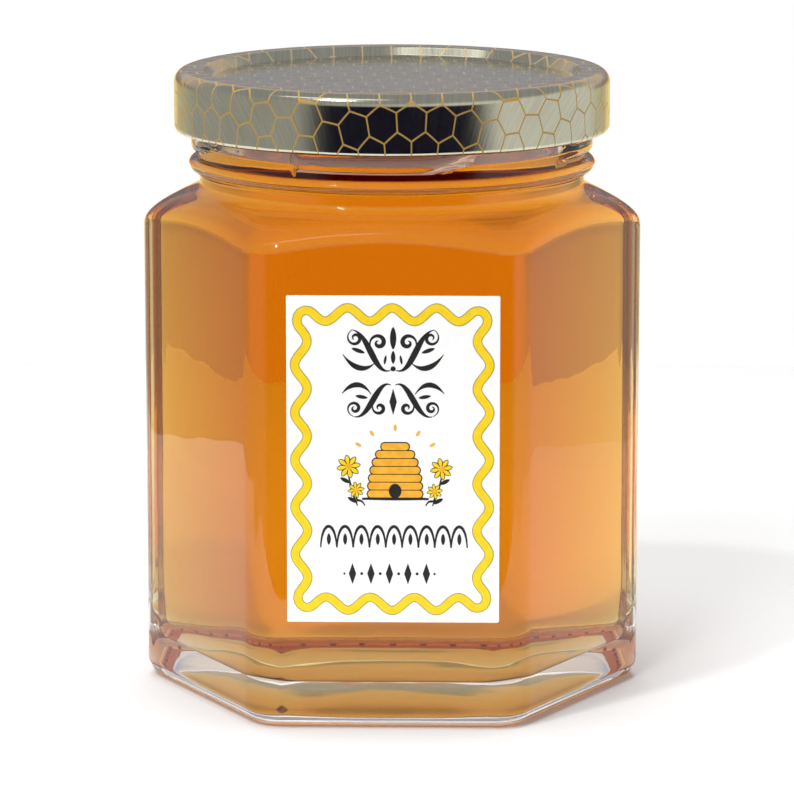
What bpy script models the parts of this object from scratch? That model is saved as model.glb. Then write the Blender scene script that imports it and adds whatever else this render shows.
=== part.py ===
"""A small hexagonal honey jar: a glass vessel, the honey in it, its metal twist-off lid and a paper label.

The jar stands on Z = 0 with its axis on Z. Its front panel, which carries the label, faces -Y, and two of the
hexagon's corners lie on the X axis. All values are in metres and radians unless their name says otherwise.
"""

import math

import bmesh
import bpy
from mathutils import Vector

# Overall size
TOTAL_HEIGHT = 0.0869
ACROSS_FLATS = 0.0618
APOTHEM = ACROSS_FLATS / 2
SIDES = 6
SECTOR = 2 * math.pi / SIDES
FIRST_PANEL = -math.pi / 2

# Glass body
CORNER_RADIUS = 0.0060
HEEL_RADIUS = 0.0028
WALL = 0.0023
INNER_CORNER_RADIUS = 0.0070
INNER_HEEL_RADIUS = 0.0050
FLOOR_THICKNESS = 0.0057
FLOOR_CROWN = 0.0008
FOOT_RING_WIDTH = 0.0036
PUSH_UP_DEPTH = 0.0022

# Shoulder and neck of the glass
NECK_RADIUS = 0.0268
MOUTH_RADIUS = 0.0245
SHOULDER_TOP = 0.0702
SHOULDER_START_RADIUS = 0.0280
SHOULDER_DROP = 0.432
SHOULDER_ROUNDING = 0.0050
NECK_FILLET = 0.0018
SHOULDER_WALL = 0.0024
SHOULDER_BOTTOM = 0.0632
BEAD_HEIGHT_ABOVE_BASE = 0.0738
BEAD_HALF_WIDTH = 0.0011
BEAD_DEPTH = 0.0014
FINISH_RADIUS = 0.0270
GLASS_TOP = 0.0847
LIP_ROUNDING = 0.0009

# Raised thread lugs on the glass finish
LUG_COUNT = 4
LUG_START = math.radians(-118.7)
LUG_RUN = math.radians(39.0)
LUG_RAMP = math.radians(26.0)
LUG_CLIMB = 0.0035
LUG_LOW = 0.0770
LUG_HALF_WIDTH = 0.0013
LUG_DEPTH = 0.0010
LUG_END = math.radians(4.0)

# Metal lid
LID_RADIUS = 0.03035
LID_BOTTOM = 0.0785
LID_METAL = 0.0005
LID_SHOULDER_RADIUS = 0.0017
CURL_RADIUS = 0.0008
PANEL_RADIUS = 0.0252
PANEL_RECESS = 0.0013
STEP_WIDTH = 0.0010
STEP_ROUNDING = 0.0004

# Honey
CLEARANCE = 0.0003
HONEY_LEVEL = 0.0765

# Paper label
LABEL_WIDTH = 0.0287
LABEL_HEIGHT = 0.0449
LABEL_SHIFT = 0.0008
LABEL_MIDDLE = 0.0376
LABEL_THICKNESS = 0.00025

# Mesh fineness
CORNER_STEPS = 6
PANEL_STEPS = 6
SHOULDER_ROWS = 11
INNER_SHOULDER_ROWS = 8
FLOOR_RINGS = (0.75, 0.4)
PUSH_UP_RINGS = (0.4, 0.75, 0.93, 1.0)
LID_STEPS = 64


def clear_scene():
    """Removes the objects that Blender starts with."""
    for obj in list(bpy.data.objects):
        bpy.data.objects.remove(obj)


def smooth_min(a, b, width):
    """The smaller of two lengths, rounded off where they are nearly equal."""
    near = max(width - abs(a - b), 0.0) / width
    return min(a, b) - near * near * width / 4


def smooth_max(a, b, width):
    """The larger of two lengths, rounded off where they are nearly equal."""
    return -smooth_min(-a, -b, width)


def smooth_step(value):
    """0 below 0, 1 above 1 and an even curve between."""
    t = min(max(value, 0.0), 1.0)
    return t * t * (3 - 2 * t)


def hexagon_radius(angle, apothem, corner):
    """Distance from the axis to the side of a hexagon whose corners are arcs of that radius."""
    if corner >= apothem:
        return apothem
    off_panel = abs((angle - FIRST_PANEL + SECTOR / 2) % SECTOR - SECTOR / 2)
    flat_end = math.atan((apothem - corner) * math.tan(SECTOR / 2) / apothem)
    if off_panel <= flat_end:
        return apothem / math.cos(off_panel)
    centre = (apothem - corner) / math.cos(SECTOR / 2)
    off_corner = SECTOR / 2 - off_panel
    across = centre * math.sin(off_corner)
    return centre * math.cos(off_corner) + math.sqrt(corner**2 - across**2)


def column_angles():
    """The angles of the mesh's columns, close together round the hexagon's corners."""
    flat_end = math.atan((APOTHEM - CORNER_RADIUS) * math.tan(SECTOR / 2) / APOTHEM)
    angles = []
    for side in range(SIDES):
        middle = FIRST_PANEL + side * SECTOR
        for step in range(PANEL_STEPS):
            angles.append(middle + flat_end * (2 * step / PANEL_STEPS - 1))
        for step in range(CORNER_STEPS):
            corner_width = SECTOR - 2 * flat_end
            angles.append(middle + flat_end + corner_width * step / CORNER_STEPS)
    return angles


def heel_inset(height, radius):
    """How far a rounded bottom edge of that radius is drawn in, at a height above the bottom."""
    if height >= radius:
        return 0.0
    return radius - math.sqrt(radius**2 - (radius - height) ** 2)


def bead_bulge(height):
    """The ring round the neck, as an addition to its radius."""
    off = (height - BEAD_HEIGHT_ABOVE_BASE) / BEAD_HALF_WIDTH
    return BEAD_DEPTH * math.sqrt(1 - off * off) if abs(off) < 1 else 0.0


def lug_bulge(angle, height):
    """The thread lugs: each runs level, then climbs to the right and fades out under the lid."""
    spacing = 2 * math.pi / LUG_COUNT
    along = (angle - LUG_START) % spacing
    length = LUG_RUN + LUG_RAMP
    if along > length:
        return 0.0
    middle = LUG_LOW + LUG_CLIMB * smooth_step((along - LUG_RUN) / LUG_RAMP)
    off = (height - middle) / LUG_HALF_WIDTH
    if abs(off) >= 1:
        return 0.0
    ends = smooth_step(along / LUG_END) * smooth_step((length - along) / LUG_END)
    return LUG_DEPTH * ends * math.sqrt(1 - off**4)


def outer_radius(angle, height):
    """Outside of the glass at one angle and height."""
    inset = heel_inset(height, HEEL_RADIUS)
    body = hexagon_radius(angle, APOTHEM - inset, CORNER_RADIUS - inset)
    slope = SHOULDER_START_RADIUS + (SHOULDER_TOP - height) / SHOULDER_DROP
    neck = smooth_max(slope, NECK_RADIUS, NECK_FILLET)
    if height > BEAD_HEIGHT_ABOVE_BASE:
        neck = FINISH_RADIUS
    neck += bead_bulge(height) + lug_bulge(angle, height)
    return smooth_min(body, neck, SHOULDER_ROUNDING)


def inner_radius(angle, height, gap=0.0):
    """Inside of the glass, drawn in by a gap for what fills it. The height is measured from the jar's base."""
    apothem = APOTHEM - WALL - gap
    corner = INNER_CORNER_RADIUS - gap
    inset = heel_inset(max(height - FLOOR_THICKNESS - gap, 0.0), INNER_HEEL_RADIUS)
    body = hexagon_radius(angle, apothem - inset, corner - inset)
    lean = math.atan(SHOULDER_DROP)
    thickness = SHOULDER_WALL + gap
    start = SHOULDER_START_RADIUS - thickness * math.sin(lean)
    top = SHOULDER_TOP - thickness * math.cos(lean)
    slope = start + (top - height) / SHOULDER_DROP
    neck = smooth_max(slope, MOUTH_RADIUS - gap, NECK_FILLET)
    return smooth_min(body, neck, SHOULDER_ROUNDING)


def neck_foot(thickness, neck_radius):
    """Height at which the neck, or its bore, starts to curve out into the shoulder."""
    lean = math.atan(SHOULDER_DROP)
    start = SHOULDER_START_RADIUS - thickness * math.sin(lean)
    top = SHOULDER_TOP - thickness * math.cos(lean)
    return top + SHOULDER_DROP * (start - neck_radius + NECK_FILLET)


def inner_shoulder_heights(gap):
    """Heights up the inside of the shoulder, from the flat sides to the bore of the neck."""
    low = SHOULDER_BOTTOM - WALL - gap
    high = neck_foot(SHOULDER_WALL + gap, MOUTH_RADIUS - gap)
    return heights_between(low, high, INNER_SHOULDER_ROWS)


def heights_between(low, high, count):
    """Evenly spaced heights from low to high, both included."""
    return [low + (high - low) * step / (count - 1) for step in range(count)]


def arc_heights(low, radius, count):
    """Heights up a quarter circle that starts level, closer together near its bottom."""
    return [low + radius * (1 - math.cos(math.pi / 2 * step / count)) for step in range(count)]


def ring(mesh, angles, radius_at, height_at):
    """One loop of vertices round the axis."""
    loop = []
    for angle in angles:
        radius = radius_at(angle)
        place = (radius * math.cos(angle), radius * math.sin(angle), height_at(radius))
        loop.append(mesh.verts.new(place))
    return loop


def skin(mesh, loops):
    """Joins each loop to the next with a band of faces."""
    for lower, upper in zip(loops, loops[1:]):
        count = len(lower)
        for i in range(count):
            j = (i + 1) % count
            mesh.faces.new((lower[i], lower[j], upper[j], upper[i]))


def close_with_fan(mesh, loop, height):
    """Closes a loop with triangles that meet on the axis."""
    middle = mesh.verts.new((0, 0, height))
    count = len(loop)
    for i in range(count):
        mesh.faces.new((loop[i], loop[(i + 1) % count], middle))


def finish_object(name, mesh, material, sharp_degrees=40):
    """Turns a bmesh into a smooth-shaded object with its faces pointing out."""
    bmesh.ops.recalc_face_normals(mesh, faces=mesh.faces)
    data = bpy.data.meshes.new(name)
    mesh.to_mesh(data)
    mesh.free()
    data.shade_smooth()
    data.set_sharp_from_angle(angle=math.radians(sharp_degrees))
    data.materials.append(material)
    obj = bpy.data.objects.new(name, data)
    bpy.context.scene.collection.objects.link(obj)
    return obj


def plain_material(name, colour, roughness, metallic=0.0, transmission=0.0, ior=1.5):
    """A Principled BSDF with one colour."""
    material = bpy.data.materials.new(name)
    material.use_nodes = True
    shader = material.node_tree.nodes["Principled BSDF"]
    shader.inputs["Base Color"].default_value = (*colour, 1)
    shader.inputs["Roughness"].default_value = roughness
    shader.inputs["Metallic"].default_value = metallic
    shader.inputs["Transmission Weight"].default_value = transmission
    shader.inputs["IOR"].default_value = ior
    return material


def floor_height(radius, gap=0.0):
    """The inside floor, slightly crowned over the push-up."""
    reach = APOTHEM - WALL - INNER_HEEL_RADIUS
    share = min(radius / reach, 1.0)
    return FLOOR_THICKNESS + gap + FLOOR_CROWN * (1 - share * share)


def floor_loops(mesh, angles, gap):
    """The crowned floor, from its edge in towards the axis."""
    edge = APOTHEM - WALL - gap - INNER_HEEL_RADIUS
    corner = INNER_CORNER_RADIUS - gap - INNER_HEEL_RADIUS
    loops = []
    for share in FLOOR_RINGS:
        rounded = corner + (edge - corner) * (1 - share)
        loops.append(
            ring(
                mesh,
                angles,
                lambda a, s=share, c=rounded: hexagon_radius(a, edge * s, c * s),
                lambda r: floor_height(r, gap),
            )
        )
    return loops


def foot_loops(mesh, angles):
    """The flat foot ring and the push-up inside it, from the axis outwards."""
    foot_outer = APOTHEM - HEEL_RADIUS
    foot_inner = foot_outer - FOOT_RING_WIDTH
    corner = CORNER_RADIUS - HEEL_RADIUS
    loops = []
    for share in PUSH_UP_RINGS:
        rounded = corner + (foot_inner - corner) * (1 - share)
        rise = PUSH_UP_DEPTH * math.sqrt(1 - share * share)
        loops.append(
            ring(
                mesh,
                angles,
                lambda a, s=share, c=rounded: hexagon_radius(a, foot_inner * s, c * s),
                lambda r, z=rise: z,
            )
        )
    return loops


def glass_jar(material):
    """The vessel: hexagonal body with a rounded heel, round neck with a bead and thread lugs, open mouth."""
    mesh = bmesh.new()
    angles = column_angles()
    bead_low = BEAD_HEIGHT_ABOVE_BASE - BEAD_HALF_WIDTH
    bead_high = BEAD_HEIGHT_ABOVE_BASE + BEAD_HALF_WIDTH
    heights = arc_heights(0.0, HEEL_RADIUS, 4)
    heights += heights_between(HEEL_RADIUS, SHOULDER_BOTTOM, 3)[:-1]
    heights += heights_between(SHOULDER_BOTTOM, neck_foot(0.0, NECK_RADIUS), SHOULDER_ROWS)
    heights += heights_between(bead_low, bead_high, 6)
    heights += heights_between(LUG_LOW - LUG_HALF_WIDTH, LUG_LOW + LUG_HALF_WIDTH + LUG_CLIMB, 7)
    heights += [GLASS_TOP - LIP_ROUNDING]
    outside = [
        ring(mesh, angles, lambda a, z=z: outer_radius(a, z), lambda r, z=z: z) for z in heights
    ]
    lip = [
        ring(mesh, angles, lambda a: FINISH_RADIUS - LIP_ROUNDING, lambda r: GLASS_TOP),
        ring(mesh, angles, lambda a: MOUTH_RADIUS + LIP_ROUNDING, lambda r: GLASS_TOP),
        ring(mesh, angles, lambda a: MOUTH_RADIUS, lambda r: GLASS_TOP - LIP_ROUNDING),
    ]
    inner_heights = inner_shoulder_heights(0.0)[::-1]
    inner_heights += [FLOOR_THICKNESS + INNER_HEEL_RADIUS]
    inner_heights += arc_heights(FLOOR_THICKNESS, INNER_HEEL_RADIUS, 3)[::-1]
    inside = [
        ring(mesh, angles, lambda a, z=z: inner_radius(a, z), lambda r, z=z: z)
        for z in inner_heights
    ]
    foot = foot_loops(mesh, angles)
    floor = floor_loops(mesh, angles, 0.0)
    skin(mesh, foot + outside + lip + inside + floor)
    close_with_fan(mesh, foot[0], PUSH_UP_DEPTH)
    close_with_fan(mesh, floor[-1], FLOOR_THICKNESS + FLOOR_CROWN)
    return finish_object("glass_jar", mesh, material)


def honey(material):
    """The honey, drawn in from the glass by a small clearance and level just under the lid's edge."""
    mesh = bmesh.new()
    angles = column_angles()
    low = FLOOR_THICKNESS + CLEARANCE
    heights = arc_heights(low, INNER_HEEL_RADIUS, 3)
    heights += [low + INNER_HEEL_RADIUS]
    heights += inner_shoulder_heights(CLEARANCE)
    heights += [HONEY_LEVEL]
    sides = [
        ring(mesh, angles, lambda a, z=z: inner_radius(a, z, CLEARANCE), lambda r, z=z: z)
        for z in heights
    ]
    floor = floor_loops(mesh, angles, CLEARANCE)
    skin(mesh, floor[::-1] + sides)
    close_with_fan(mesh, floor[-1], low + FLOOR_CROWN)
    close_with_fan(mesh, sides[-1], HONEY_LEVEL)
    return finish_object("honey", mesh, material)


def arc(centre, radius, start, end, steps):
    """Points along an arc in the profile plane, angles in degrees."""
    angles = [math.radians(start + (end - start) * step / steps) for step in range(steps + 1)]
    return [(centre[0] + radius * math.cos(a), centre[1] + radius * math.sin(a)) for a in angles]


def lid_profile():
    """The lid's section, from the axis on its top face round the curl and back to the axis underneath."""
    ring_top = TOTAL_HEIGHT
    panel_top = TOTAL_HEIGHT - PANEL_RECESS
    step_foot = PANEL_RADIUS
    step_head = PANEL_RADIUS + STEP_WIDTH
    lean = math.degrees(math.atan2(PANEL_RECESS - 2 * STEP_ROUNDING, STEP_WIDTH))
    shoulder = (LID_RADIUS - LID_SHOULDER_RADIUS, TOTAL_HEIGHT - LID_SHOULDER_RADIUS)
    curl = (LID_RADIUS - CURL_RADIUS, LID_BOTTOM + CURL_RADIUS)
    inside = LID_RADIUS - LID_METAL
    inner_rounding = LID_SHOULDER_RADIUS - LID_METAL
    curl_meets_wall = math.degrees(math.acos((inside - curl[0]) / CURL_RADIUS))
    points = [(0.0, panel_top)]
    points += arc((step_foot, panel_top + STEP_ROUNDING), STEP_ROUNDING, -90, lean - 90, 3)
    points += arc((step_head, ring_top - STEP_ROUNDING), STEP_ROUNDING, lean + 90, 90, 3)
    points += arc(shoulder, LID_SHOULDER_RADIUS, 90, 0, 6)
    points += arc(curl, CURL_RADIUS, 0, -360 + curl_meets_wall, 9)
    points += arc(shoulder, inner_rounding, 0, 90, 3)
    points += [(step_head - LID_METAL, ring_top - LID_METAL)]
    points += [(step_foot - LID_METAL, panel_top - LID_METAL)]
    points += [(0.0, panel_top - LID_METAL)]
    return points


def lid(material):
    """The pressed lid: a recessed panel, a raised rim, a straight skirt and a rolled-in edge."""
    mesh = bmesh.new()
    profile = [mesh.verts.new((r, 0, z)) for r, z in lid_profile()]
    edges = [mesh.edges.new(pair) for pair in zip(profile, profile[1:])]
    bmesh.ops.spin(
        mesh,
        geom=profile + edges,
        cent=Vector((0, 0, 0)),
        axis=Vector((0, 0, 1)),
        angle=2 * math.pi,
        steps=LID_STEPS,
        use_merge=True,
    )
    bmesh.ops.remove_doubles(mesh, verts=mesh.verts, dist=1e-6)
    return finish_object("lid", mesh, material, sharp_degrees=50)


def label(material):
    """The paper label: a thin rectangle in front of the front panel, stuck on a little off its middle."""
    mesh = bmesh.new()
    back = -(APOTHEM + CLEARANCE)
    bmesh.ops.create_cube(mesh, size=1.0)
    for vert in mesh.verts:
        vert.co.x = LABEL_SHIFT + LABEL_WIDTH * vert.co.x
        vert.co.y = back + LABEL_THICKNESS * (vert.co.y - 0.5)
        vert.co.z = LABEL_MIDDLE + LABEL_HEIGHT * vert.co.z
    return finish_object("label", mesh, material)


def main():
    clear_scene()
    glass_jar(plain_material("clear_glass", (0.96, 0.97, 0.95), 0.02, transmission=1.0, ior=1.52))
    honey(plain_material("clear_honey", (0.90, 0.42, 0.05), 0.05, transmission=0.9, ior=1.49))
    lid(plain_material("gold_tinplate", (0.70, 0.66, 0.45), 0.28, metallic=1.0))
    label(plain_material("white_paper", (0.96, 0.95, 0.92), 0.6))


main()
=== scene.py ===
# %% [markdown]
# # A jar of honey
#
# This lesson dresses a small hexagonal jar of clear honey: moulded glass, honey, a printed metal lid and a
# paper label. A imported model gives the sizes. Every piece made here stands where that model has it, and only
# the surfaces get finer.

import math

import bmesh
import bpy
from mathutils import Matrix, Vector


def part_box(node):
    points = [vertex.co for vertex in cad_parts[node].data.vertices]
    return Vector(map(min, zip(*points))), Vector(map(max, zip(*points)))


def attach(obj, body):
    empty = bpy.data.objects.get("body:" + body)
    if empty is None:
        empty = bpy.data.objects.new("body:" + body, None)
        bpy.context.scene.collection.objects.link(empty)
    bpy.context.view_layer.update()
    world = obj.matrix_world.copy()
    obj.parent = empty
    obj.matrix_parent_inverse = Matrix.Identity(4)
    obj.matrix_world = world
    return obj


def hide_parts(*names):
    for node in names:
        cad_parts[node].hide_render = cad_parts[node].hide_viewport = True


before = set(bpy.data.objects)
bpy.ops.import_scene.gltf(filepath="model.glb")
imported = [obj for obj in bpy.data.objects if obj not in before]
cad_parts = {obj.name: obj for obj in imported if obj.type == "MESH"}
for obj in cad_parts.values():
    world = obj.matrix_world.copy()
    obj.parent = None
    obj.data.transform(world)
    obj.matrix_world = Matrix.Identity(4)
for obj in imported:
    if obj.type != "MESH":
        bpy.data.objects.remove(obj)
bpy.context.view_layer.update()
print("nodes:", sorted(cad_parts))

# %% [markdown]
# ## Sizes
#
# Millimetres are easier to read than metres for something this small, so lengths are written times MM. What
# the frame already knows is read from it: how tall the glass is, how wide across its flats, where the lid
# starts and how high the honey stands. The rest are the thicknesses and roundings that a glass maker would
# choose, and they repeat the values that the model was built from.

# %% Sizes from the frame
MM = 0.001
glass_low, glass_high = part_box("glass_jar")
honey_low, honey_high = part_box("honey")
lid_low, lid_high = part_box("lid")
label_low, label_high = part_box("label")
APOTHEM = glass_high.y
GLASS_TOP = glass_high.z
HONEY_LEVEL = honey_high.z
LID_RADIUS = lid_high.x
LID_TOP = lid_high.z
LID_BOTTOM = lid_low.z
print("across flats", round(2 * APOTHEM / MM, 1), "mm, lid", round(2 * LID_RADIUS / MM, 1), "mm")

# %% Sizes of the glass
FRONT = -math.pi / 2
SECTOR = math.pi / 3
CORNER_RADIUS = 6.0 * MM
HEEL_RADIUS = 2.8 * MM
WALL = 2.3 * MM
INNER_CORNER_RADIUS = 7.0 * MM
INNER_HEEL_RADIUS = 5.0 * MM
FLOOR_THICKNESS = 5.7 * MM
FLOOR_CROWN = 0.8 * MM
FOOT_RING_WIDTH = 3.6 * MM
PUSH_UP_DEPTH = 2.2 * MM
NECK_RADIUS = 26.8 * MM
MOUTH_RADIUS = 24.5 * MM
FINISH_RADIUS = 27.0 * MM
SHOULDER_TOP = 70.2 * MM
SHOULDER_START_RADIUS = 28.0 * MM
SHOULDER_DROP = 0.432
SHOULDER_ROUNDING = 5.0 * MM
SHOULDER_WALL = 2.4 * MM
SHOULDER_BOTTOM = 63.2 * MM
NECK_FILLET = 1.8 * MM
BEAD_MIDDLE = 73.8 * MM
BEAD_HALF_WIDTH = 1.1 * MM
BEAD_DEPTH = 1.4 * MM
LIP_ROUNDING = 0.9 * MM
LUG_COUNT = 4
LUG_START = math.radians(-118.7)
LUG_RUN = math.radians(39.0)
LUG_RAMP = math.radians(26.0)
LUG_CLIMB = 3.5 * MM
LUG_LOW = 77.0 * MM
LUG_HALF_WIDTH = 1.3 * MM
LUG_DEPTH = 1.0 * MM
LUG_END = math.radians(4.0)
print("wall", round(WALL / MM, 1), "mm, floor", round(FLOOR_THICKNESS / MM, 1), "mm")

# %% [markdown]
# ## The camera
#
# The photograph was taken from a little above, with a long lens: the jar's sides hardly converge. A camera
# about 65 cm away with a 210 mm lens on a 36 mm sensor sees it the same way. Its height comes from the flat
# ellipse of the lid, and its tilt aims it at the middle of the jar.

# %% Camera
PHOTO_SIZE = 794
CAMERA_AZIMUTH = math.radians(1.2)
CAMERA_TILT = math.radians(10.963)
CAMERA_DISTANCE = 652.7 * MM
FOCAL_PIXELS = 4624.7
AIM_HEIGHT = 40.25 * MM
SENSOR_WIDTH = 36.0
AXIS_COLUMN = 392.0


def make_camera():
    """A camera turned a little to the right of the front, looking down at the jar's middle."""
    data = bpy.data.cameras.new("camera")
    data.sensor_width = SENSOR_WIDTH
    data.lens = FOCAL_PIXELS / PHOTO_SIZE * SENSOR_WIDTH
    data.shift_x = (PHOTO_SIZE / 2 - AXIS_COLUMN) / PHOTO_SIZE
    camera = bpy.data.objects.new("camera", data)
    bpy.context.scene.collection.objects.link(camera)
    level = Vector((-math.sin(CAMERA_AZIMUTH), math.cos(CAMERA_AZIMUTH), 0))
    ahead = level * math.cos(CAMERA_TILT) - Vector((0, 0, math.sin(CAMERA_TILT)))
    camera.location = Vector((0, 0, AIM_HEIGHT)) - ahead * CAMERA_DISTANCE
    camera.rotation_mode = "QUATERNION"
    camera.rotation_quaternion = ahead.to_track_quat("-Z", "Y")
    bpy.context.scene.camera = camera
    return camera


camera = make_camera()
print("camera at", tuple(round(value, 3) for value in camera.location))

# %% [markdown]
# ## Writing shader maths as sums
#
# A pattern on a surface is a formula: where is this point, how far is it from the nearest line, how dark is
# it there. Wiring that by hand takes dozens of boxes. The small class below stands for one socket of a node
# tree, and adding or multiplying such sockets adds the Math nodes. A Tree makes every other node from its
# type, its settings and what goes into its sockets, for materials, the world and Geometry Nodes alike.


# %% A socket that can be added and multiplied
class Wire:
    """An output socket of a node tree. Sums on it add Math nodes."""

    def __init__(self, tree, socket):
        self.tree = tree
        self.socket = socket

    def maths(self, operation, *values):
        sockets = dict(enumerate(values))
        return self.tree.node("ShaderNodeMath", {"operation": operation}, sockets)

    def __add__(self, other):
        return self.maths("ADD", self, other)

    def __radd__(self, other):
        return self.maths("ADD", other, self)

    def __sub__(self, other):
        return self.maths("SUBTRACT", self, other)

    def __rsub__(self, other):
        return self.maths("SUBTRACT", other, self)

    def __mul__(self, other):
        return self.maths("MULTIPLY", self, other)

    def __rmul__(self, other):
        return self.maths("MULTIPLY", other, self)

    def __truediv__(self, other):
        return self.maths("DIVIDE", self, other)

    def __gt__(self, other):
        return self.maths("GREATER_THAN", self, other)

    def __lt__(self, other):
        return self.maths("LESS_THAN", self, other)

    def __abs__(self):
        return self.maths("ABSOLUTE", self)

    def __mod__(self, other):
        return self.maths("FLOORED_MODULO", self, other)

    def root(self):
        return self.maths("SQRT", self)

    def higher(self, other):
        return self.maths("MAXIMUM", self, other)


# %% A node tree that takes plain values and wires
class Tree:
    """A node tree and the one method that makes its nodes."""

    def __init__(self, tree):
        self.tree = tree

    def node(self, kind, settings=None, sockets=None, output=0):
        made = self.tree.nodes.new(kind)
        for name, value in (settings or {}).items():
            setattr(made, name, value)
        for name, value in (sockets or {}).items():
            if isinstance(value, Wire):
                self.tree.links.new(value.socket, made.inputs[name])
            else:
                made.inputs[name].default_value = value
        return Wire(self, made.outputs[output]) if made.outputs else None

    def other_output(self, wire, output):
        """Another output of the node that a wire comes from."""
        return Wire(self, wire.socket.node.outputs[output])

    def mix(self, share, first, second):
        """One colour fading into another."""
        sockets = {0: share, 6: first, 7: second}
        return self.node("ShaderNodeMix", {"data_type": "RGBA"}, sockets, output=2)

    def step(self, value, low, high, start=0.0, end=1.0):
        """A smooth step from start to end as a value goes from low to high."""
        settings = {"interpolation_type": "SMOOTHSTEP"}
        sockets = {0: value, 1: low, 2: high, 3: start, 4: end}
        return self.node("ShaderNodeMapRange", settings, sockets)

    def place(self):
        """The point on the piece, in metres, as three wires."""
        point = self.node("ShaderNodeTexCoord", output="Object")
        x = self.node("ShaderNodeSeparateXYZ", None, {0: point})
        return x, self.other_output(x, 1), self.other_output(x, 2)

    def noise(self, vector, scale, detail=2.0, roughness=0.5):
        """Soft random blotches between 0 and 1."""
        sockets = {"Vector": vector, "Scale": scale, "Detail": detail, "Roughness": roughness}
        return self.node("ShaderNodeTexNoise", None, sockets)

    def vector(self, x, y, z):
        return self.node("ShaderNodeCombineXYZ", None, {0: x, 1: y, 2: z})

    def bump(self, height, strength, distance):
        """The normal of a surface with that relief."""
        sockets = {"Strength": strength, "Distance": distance, "Height": height}
        return self.node("ShaderNodeBump", None, sockets)


# %% [markdown]
# Every material here is one shader. What is the same all over a surface is set on the shader's sockets. What
# varies comes from a function that paints it: it gets the tree and returns a value for each socket it feeds.


# %% A material of one shader
def shader_material(name, kind, fixed, painted=None, filling=None):
    """A material with one shader on its surface and, for a body of liquid, a filling."""
    material = bpy.data.materials.new(name)
    material.use_nodes = True
    material.node_tree.nodes.clear()
    tree = Tree(material.node_tree)
    varying = painted(tree) if painted else {}
    ends = {"Surface": tree.node(kind, None, {**fixed, **varying})}
    if filling:
        ends["Volume"] = filling(tree)
    tree.node("ShaderNodeOutputMaterial", None, ends)
    return material


def principled(name, fixed, painted=None, filling=None):
    return shader_material(name, "ShaderNodeBsdfPrincipled", fixed, painted, filling)


# %% [markdown]
# ## Light, floor and surroundings
#
# Clear things have no colour of their own: they show what is behind them, and their shape comes from what
# they mirror. So the studio is built first, as a sky painted with fields of light. Behind the jar it goes
# in bands, from the warm haze over the floor to a pale wall. In front it is dark and low, which gives the
# lid its dark stripe and keeps haze off the front panel. Light that came through the jar meets a paler
# front, or the honey would lose its glow. High up, a narrow strip light draws a bright line on the lid. The
# camera itself sees plain white.

# %% Surroundings
WHITE = (1, 1, 1, 1)
DARK_SIDE_AZIMUTH = math.radians(5.0)
DARK_SIDE_WIDTH = (math.cos(math.radians(56.0)), math.cos(math.radians(36.0)))
DARK_SIDE_TOP = (0.02, 0.16)
DARK_SIDE = (0.005, 0.004, 0.018, 1)
DARK_SIDE_THROUGH = (0.50, 0.40, 0.42, 1)
LEFT_SIDE = (0.42, 0.42, 0.41, 1)
RIGHT_SIDE = (0.78, 0.78, 0.76, 1)
SIDE_TO_SIDE = (-0.8, 0.8)
SIDE_TO_BACK = (0.55, 0.85)
FLOOR_HAZE = (0.82, 0.74, 0.51, 1)
BACK_BANDS = (
    (-0.18, -0.12, (0.57, 0.50, 0.31, 1)),
    (-0.02, 0.0, (0.44, 0.21, 0.12, 1)),
    (0.05, 0.09, (0.29, 0.315, 0.37, 1)),
    (0.15, 0.22, (0.66, 0.54, 0.46, 1)),
)
BEYOND_FLOOR = (1.05, 0.80, 0.36, 1)
BEYOND_FLOOR_WIDTH = (0.88, 0.96)
BEYOND_FLOOR_TOP = (-0.05, 0.0)
CEILING = (0.36, 0.365, 0.39, 1)
CEILING_EDGE = (0.35, 0.60)
STRIP_LIGHT = (2.2, 2.2, 2.2, 1)
STRIP_NORMAL = (0.413, 0.846, 0.337)
STRIP_HALF_WIDTH = (0.03, 0.06)
STRIP_MIDDLE = (-0.327, -0.208, 0.921)
STRIP_ENDS = (0.93, 0.96)


def dot_product(direction, x, y, z):
    """How far a direction of the sky points along another."""
    return x * direction[0] + y * direction[1] + z * direction[2]


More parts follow.
